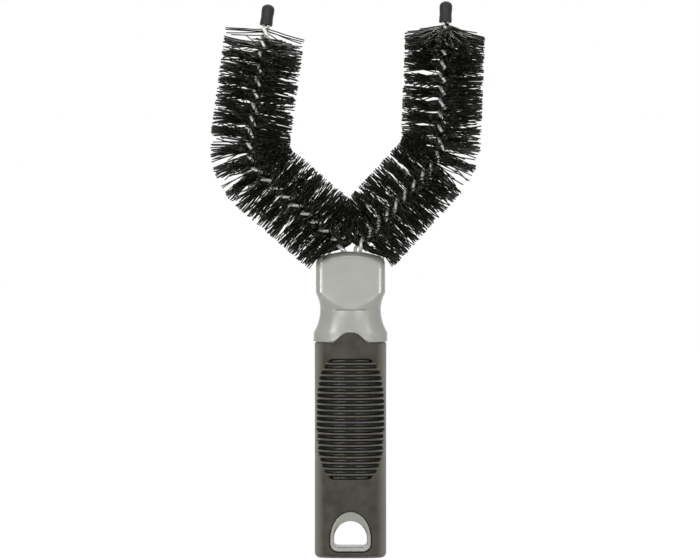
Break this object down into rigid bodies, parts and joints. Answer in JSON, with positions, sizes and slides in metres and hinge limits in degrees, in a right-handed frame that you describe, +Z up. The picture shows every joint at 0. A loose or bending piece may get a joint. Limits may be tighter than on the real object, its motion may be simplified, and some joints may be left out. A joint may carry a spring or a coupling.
{
  "type": "tire brush",
  "caption": "Hand brush with a soft-grip handle, a hanging eye and forked twisted-wire prongs that scrub both walls of a tire at once.",
  "frame": {"origin": "centre of the flat butt of the handle", "axes": "+Z up the handle towards the brush tips, +X to the right seen from the front, -Y to the front"},
  "size_m": [0.1268, 0.0372, 0.2558],
  "materials": {
    "silver_plastic": "satin silver-grey moulding",
    "grey_rubber": "matte dark-grey soft-touch rubber",
    "galvanised_wire": "bright galvanised",
    "black_nylon": "semi-gloss black filament",
    "dark_vinyl": "satin dark-grey dipped vinyl"
  },
  "bodies": {
    "root": {"handle_core": "silver_plastic", "grip_sleeve": "grey_rubber", "left_stem_wire_a": "galvanised_wire", "left_stem_wire_b": "galvanised_wire", "right_stem_wire_a": "galvanised_wire", "right_stem_wire_b": "galvanised_wire", "left_lower_bristles": "black_nylon", "left_upper_bristles": "black_nylon", "right_lower_bristles": "black_nylon", "right_upper_bristles": "black_nylon", "left_tip_cap": "dark_vinyl", "right_tip_cap": "dark_vinyl"}
  },
  "joints": []
}
